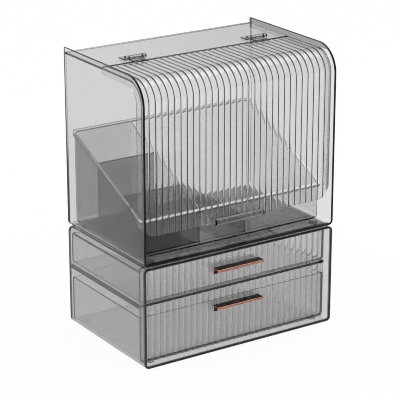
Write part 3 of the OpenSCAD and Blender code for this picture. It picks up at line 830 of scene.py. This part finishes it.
def makeHinge(side):
    s = hingeShape
    pinLo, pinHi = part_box(side + "_hinge_pin")
    doorLo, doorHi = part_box(side + "_hinge_door_leaf")
    fixedLo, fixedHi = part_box(side + "_hinge_fixed_leaf")
    axisY, axisZ = (pinLo.y + pinHi.y) / 2, (pinLo.z + pinHi.z) / 2
    radius = doorHi.z - axisZ - airGap / 2

    bm = bmesh.new()
    faces, _ = hingeSection(bm, doorLo.x, axisY, axisZ, radius, 1, -(axisY - doorLo.y), None)
    pushFaces(bm, faces, (doorHi.x - doorLo.x, 0, 0), keepStart=True)
    finishPiece(side + "HingeDoorLeaf", bm, "door", [side + "_hinge_door_leaf"], hingePlastic,
                edge=s["edge"])

    # half of the fixed leaf, mirrored about the middle of the hinge
    bm = bmesh.new()
    middle = (fixedLo.x + fixedHi.x) / 2
    knuckle, leaf = hingeSection(bm, fixedLo.x, axisY, axisZ, radius, -1, -(radius + 2 * s["gap"] * mm),
                                 -(fixedHi.y - axisY))
    pushFaces(bm, knuckle + [leaf], (s["endKnuckle"] * mm, 0, 0), keepStart=True)
    inner = [f for f in facesAt(bm, 0, fixedLo.x + s["endKnuckle"] * mm)
             if f.calc_center_median().y > axisY + radius + 2 * s["gap"] * mm]
    for v in pushFaces(bm, inner, (0, 0, 0)):
        v.co.x = middle
    bmesh.ops.delete(bm, geom=facesAt(bm, 0, middle), context="FACES_ONLY")
    half = bm.verts[:] + bm.edges[:] + bm.faces[:]
    copy = bmesh.ops.duplicate(bm, geom=half)
    for v in vertsOf(copy):
        v.co.x = 2 * middle - v.co.x
    # painted shade: the fixed leaf's fine edges are dark near the knuckle and faint further back
    finishPiece(side + "HingeFixedLeaf", bm, "case", [side + "_hinge_fixed_leaf"],
                hingePlastic, edge=s["edge"],
                edgePaintedShadeAndWear=lambda f: s["leafShade"] if f.calc_center_median().y > axisY + radius else 1)

    bm = bmesh.new()
    centre = ((pinLo.x + pinHi.x) / 2, axisY, axisZ)
    turn = Matrix.Translation(centre) @ Matrix.Rotation(math.radians(90), 4, "Y")
    pin = pinHi.y - axisY
    bmesh.ops.create_cone(bm, cap_ends=True, segments=s["boreSteps"], radius1=pin, radius2=pin,
                          depth=pinHi.x - pinLo.x, matrix=turn)
    finishPiece(side + "HingePin", bm, "case", [side + "_hinge_pin"], steel, edge=s["pinEdge"])


# insert tray and its dividers

insertShape = dict(wall=2.2, rimOut=1.6, rimHeight=3.0, cornerRadius=6.5, outerSteps=7, innerSteps=6,
                   frontHeight=49, edge=1.0, edgeShade=0.9, leftShade=0.47, frontShade=0, leftFrontShade=0.5,
                   floorShade=0.05, leftFloorShade=0.8, rearShade=0.25, rimBand=1.8, bandShade=0.85,
                   spare=5)
dividerShape = dict(below=0.2, edge=0.4, cornerSteps=6)


def rimPlane():
    # a point on the insert's sloping rim, and the rise of the rim along Y
    s = insertShape
    lo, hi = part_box("insert_tray")
    frontZ = lo.z + s["frontHeight"] * mm
    return Vector((0, lo.y, frontZ)), (hi.z - frontZ) / (hi.y - s["rimOut"] * mm - lo.y)


def makeInsert():
    # a rounded block, drawn too high by spare and cut along the slope of its rim, then given a collar round
    # the rim and hollowed out
    s = insertShape
    lo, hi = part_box("insert_tray")
    out, wall, rim = s["rimOut"] * mm, s["wall"] * mm, s["rimHeight"] * mm
    point, rise = rimPlane()
    normal = Vector((0, -rise, 1)).normalized()
    bodyLo, bodyHi = lo + Vector((out, out, airGap)), hi - Vector((out, out, -s["spare"] * mm))
    bm = startBox(bodyLo, bodyHi)
    low = [e for axis in (1, 0) for e in edgesAlong(bm, axis, lambda mid: mid.z < lo.z + broad)]
    roundOff(bm, edgesAlong(bm, 2) + low, s["cornerRadius"] * mm, s["outerSteps"])
    top = sliceOff(bm, point, normal)
    below = point - Vector((0, 0, rim))
    bmesh.ops.bisect_plane(bm, geom=bm.verts[:] + bm.edges[:] + bm.faces[:], dist=cutNear, plane_co=below,
                           plane_no=normal)
    collar = [f for f in bm.faces if (f.calc_center_median() - below).dot(normal) > tiny and f not in top]
    made = bmesh.ops.extrude_face_region(bm, geom=collar)
    bmesh.ops.delete(bm, geom=collar, context="FACES_ONLY")
    for v in vertsOf(made):
        v.co.x += math.copysign(out, v.co.x)
        side = math.copysign(out, v.co.y - (lo.y + hi.y) / 2)
        v.co.y += side
        v.co.z += side * rise
    bmesh.ops.inset_region(bm, faces=top, thickness=wall, use_even_offset=True)
    floor = lo.z + wall
    for v in pushFaces(bm, top, (0, 0, 0)):
        v.co.z = floor
    inner = [e for e in bm.edges if all(abs(v.co.z - floor) < mergeNear for v in e.verts)]
    roundOff(bm, inner, (s["cornerRadius"] - s["wall"]) * mm, s["innerSteps"])
    bm.normal_update()
    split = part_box("long_divider")[0].x
    divided = [f for f in bm.faces if abs(f.normal.y) > 0.99 or abs(f.normal.z) > 0.99]
    divideFaces(bm, divided, (split, 0, 0), (1, 0, 0))
    banded = [f for f in bm.faces if f.normal.dot(normal) < 0.99]
    divideFaces(bm, banded, point - Vector((0, 0, s["rimBand"] * mm)), normal)
    return finishPiece("insertTray", bm, "case", ["insert_tray"], insertPlastic,
                       edge=s["edge"], edgePaintedShadeAndWear=s["edgeShade"],
                       shadeOf=lambda f: insertShade(f, lo, hi, split, point, normal),
                       shineOf=lambda f: 1 if f.normal.dot(normal) > 0.99 else 0)


def insertShade(face, lo, hi, split, point, normal):
    # painted shade: a dark band is painted under the rim; the left wall, and the floor, the front wall and
    # the rear wall left of the long divider, are painted darker than the rest
    s = insertShape
    mid = face.calc_center_median()
    sheet = (s["rimOut"] + s["wall"]) * mm + tiny
    if mid.z < lo.z + s["wall"] * mm + 2 * close:
        return s["floorShade"] if mid.x > split else s["leftFloorShade"]
    if face.normal.dot(normal) < 0.9 and (mid - point).dot(normal) > -s["rimBand"] * mm * normal.z:
        return s["bandShade"]
    if face.normal.z > 0.2 or mid.z < lo.z + s["cornerRadius"] * mm:
        return 0
    if mid.x < lo.x + sheet and abs(face.normal.x) > 0.9:
        return s["leftShade"]
    if mid.y < lo.y + sheet and abs(face.normal.y) > 0.9:
        return s["frontShade"] if mid.x > split else s["leftFrontShade"]
    if mid.y > hi.y - sheet and abs(face.normal.y) > 0.9 and mid.x < split:
        return s["rearShade"]
    return 0


def makeDivider(name, node, material, leftCorner=False, edgePaintedShadeAndWear=1.0, shine=0):
    # plate cut off along the rim's slope; shine goes to its top faces
    s = dividerShape
    lo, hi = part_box(node)
    lo.z += airGap
    point, rise = rimPlane()
    bm = startBox(lo, hi)
    if leftCorner:
        radius = (insertShape["cornerRadius"] - insertShape["wall"]) * mm
        foot = edgesAlong(bm, 1, lambda mid: mid.z < lo.z + close and mid.x < lo.x + close)
        roundOff(bm, foot, radius, s["cornerSteps"])
    if point.z + rise * (lo.y - point.y) - s["below"] * mm < hi.z:
        sliceOff(bm, point - Vector((0, 0, s["below"] * mm)), Vector((0, -rise, 1)).normalized())
    return finishPiece(name, bm, "case", [node], material, edge=s["edge"], edgePaintedShadeAndWear=edgePaintedShadeAndWear,
                       shineOf=lambda f: shine if f.normal.z > 0.3 else 0)


# pads

padShape = {"case_pads": dict(radius=5, edge=0.3), "cabinet_pads": dict(radius=6, edge=0.4)}
padSteps = 40


def makePads(name, node):
    s = padShape[node]
    lo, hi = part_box(node)
    lo.z, hi.z = lo.z + airGap / 2, hi.z - airGap / 2
    radius = s["radius"] * mm
    bm = bmesh.new()
    for x in (lo.x + radius, hi.x - radius):
        for y in (lo.y + radius, hi.y - radius):
            bmesh.ops.create_cone(bm, cap_ends=True, segments=padSteps, radius1=radius, radius2=radius,
                                  depth=hi.z - lo.z, matrix=Matrix.Translation((x, y, (lo.z + hi.z) / 2)))
    return finishPiece(name, bm, "case", [node], padPlastic, edge=s["edge"])


makeDrawerCase()
makeShelf()
makePads("casePads", "case_pads")
makePads("cabinetPads", "cabinet_pads")
for row in ("lower", "upper"):
    makeTub(row)
    makeFront(row)
    makeHandle(row)
    makeScrews(row)
print("drawer case made")
makeCabinet()
makeTopPanel()
makeDoor()
makePull()
for side in ("left", "right"):
    makeHinge(side)
print("cabinet made")
makeInsert()
makeDivider("longDivider", "long_divider", insertPlastic, edgePaintedShadeAndWear=0, shine=1)
makeDivider("rearCrossDivider", "rear_cross_divider", dividerPlastic, leftCorner=True)
makeDivider("frontCrossDivider", "front_cross_divider", dividerPlastic, leftCorner=True)
makeDivider("lowDivider", "low_divider", dividerPlastic)
print("insert made")


# floor, light and camera

studio = dict(floorSize=12, floorGrey=0.9, glow=0.94, worldStrength=1.0, wallGlow=0.45, ceilingGlow=0.8,
              glowFrom=0.05, glowTo=0.9, sideGlow=0.5, sideFrom=0.62, sideTo=0.40)
lamps = dict(topSoftbox=dict(place=(-0.4, -0.3, 1.6), size=0.7, glow=1.2),
             sideSoftbox=dict(place=(0.72, 0.05, 1.3), size=0.56, glow=1.5))
lampTarget = Vector((0, 0, 0.2))


def seenRay(nodes, links):
    # 1 where the camera, a reflection or clear plastic looks at the surface
    path = nodes.new("ShaderNodeLightPath")
    add = nodes.new("ShaderNodeMath")
    links.new(path.outputs["Is Camera Ray"], add.inputs[0])
    links.new(path.outputs["Is Glossy Ray"], add.inputs[1])
    more = nodes.new("ShaderNodeMath")
    more.use_clamp = True
    links.new(add.outputs[0], more.inputs[0])
    links.new(path.outputs["Is Transmission Ray"], more.inputs[1])
    return more.outputs[0]


def makeFloor():
    bm = bmesh.new()
    bmesh.ops.create_grid(bm, x_segments=1, y_segments=1, size=studio["floorSize"] / 2)
    mesh = bpy.data.meshes.new("floor")
    bm.to_mesh(mesh)
    bm.free()
    floor = bpy.data.objects.new("floor", mesh)
    scene.collection.objects.link(floor)
    material, nodes, links, skin, out = newMaterial("paleFloor")
    skin.inputs["Base Color"].default_value = (*[studio["floorGrey"]] * 3, 1)
    skin.inputs["Roughness"].default_value = 1
    skin.inputs["Specular IOR Level"].default_value = 0
    glow = nodes.new("ShaderNodeEmission")
    mix = nodes.new("ShaderNodeMixShader")
    share = nodes.new("ShaderNodeMath")
    share.operation = "MULTIPLY"
    share.inputs[1].default_value = studio["glow"]
    links.new(seenRay(nodes, links), share.inputs[0])
    links.new(share.outputs[0], mix.inputs[0])
    links.new(skin.outputs[0], mix.inputs[1])
    links.new(glow.outputs[0], mix.inputs[2])
    links.new(mix.outputs[0], out.inputs["Surface"])
    mesh.materials.append(material)


def makeWorld():
    # white where the camera looks past the object; for gloss and clear plastic, a room brighter overhead and
    # dimmer on the far right
    world = bpy.data.worlds.new("studioWorld")
    scene.world = world
    world.use_nodes = True
    nodes, links = world.node_tree.nodes, world.node_tree.links
    out = nodes["World Output"]
    plain = nodes["Background"]
    plain.inputs["Color"].default_value = (1, 1, 1, 1)
    plain.inputs["Strength"].default_value = studio["worldStrength"]
    place = nodes.new("ShaderNodeTexCoord")
    split = nodes.new("ShaderNodeSeparateXYZ")
    links.new(place.outputs["Generated"], split.inputs[0])
    height = nodes.new("ShaderNodeMapRange")
    height.inputs["From Min"].default_value = studio["glowFrom"]
    height.inputs["From Max"].default_value = studio["glowTo"]
    height.inputs["To Min"].default_value = studio["wallGlow"]
    height.inputs["To Max"].default_value = studio["ceilingGlow"]
    links.new(split.outputs["Z"], height.inputs["Value"])
    side = nodes.new("ShaderNodeMapRange")
    side.interpolation_type = "SMOOTHSTEP"
    side.inputs["From Min"].default_value = studio["sideFrom"]
    side.inputs["From Max"].default_value = studio["sideTo"]
    side.inputs["To Max"].default_value = studio["sideGlow"]
    links.new(split.outputs["X"], side.inputs["Value"])
    total = nodes.new("ShaderNodeMath")
    links.new(height.outputs["Result"], total.inputs[0])
    links.new(side.outputs["Result"], total.inputs[1])
    room = nodes.new("ShaderNodeBackground")
    links.new(total.outputs[0], room.inputs["Strength"])
    path = nodes.new("ShaderNodeLightPath")
    bent = nodes.new("ShaderNodeMath")
    bent.use_clamp = True
    links.new(path.outputs["Is Glossy Ray"], bent.inputs[0])
    links.new(path.outputs["Is Transmission Ray"], bent.inputs[1])
    mix = nodes.new("ShaderNodeMixShader")
    links.new(bent.outputs[0], mix.inputs[0])
    links.new(plain.outputs[0], mix.inputs[1])
    links.new(room.outputs[0], mix.inputs[2])
    links.new(mix.outputs[0], out.inputs["Surface"])


def makeLamp(name, place, size, glow):
    # soft square lamp; glow is the brightness of its face
    lamp = bpy.data.lights.new(name, "AREA")
    lamp.size = size
    lamp.energy = glow * math.pi * size * size
    lampObject = bpy.data.objects.new(name, lamp)
    scene.collection.objects.link(lampObject)
    lampObject.location = place
    lampObject.rotation_euler = (lampTarget - Vector(place)).to_track_quat("-Z", "Y").to_euler()


view = dict(place=(-1.2196, -1.8469, 0.9452), azimuth=33.426, down=19.342, lens=164.72, sensor=36)


def makeCamera():
    camera = bpy.data.cameras.new("camera")
    cameraObject = bpy.data.objects.new("camera", camera)
    scene.collection.objects.link(cameraObject)
    camera.sensor_width = view["sensor"]
    camera.lens = view["lens"]
    turn, down = math.radians(view["azimuth"]), math.radians(view["down"])
    look = Vector((math.sin(turn) * math.cos(down), math.cos(turn) * math.cos(down), -math.sin(down)))
    cameraObject.location = view["place"]
    cameraObject.rotation_euler = look.to_track_quat("-Z", "Y").to_euler()
    scene.camera = cameraObject


makeFloor()
makeWorld()
for name, lamp in lamps.items():
    makeLamp(name, **lamp)
makeCamera()
scene.view_settings.view_transform = "Standard"
scene.cycles.filter_width = 1  # keeps the thin dark outlines crisp
scene.cycles.max_bounces = 40  # a look through both units crosses some thirty faces
scene.cycles.transmission_bounces = 40
scene.cycles.glossy_bounces = 12
print("studio made")
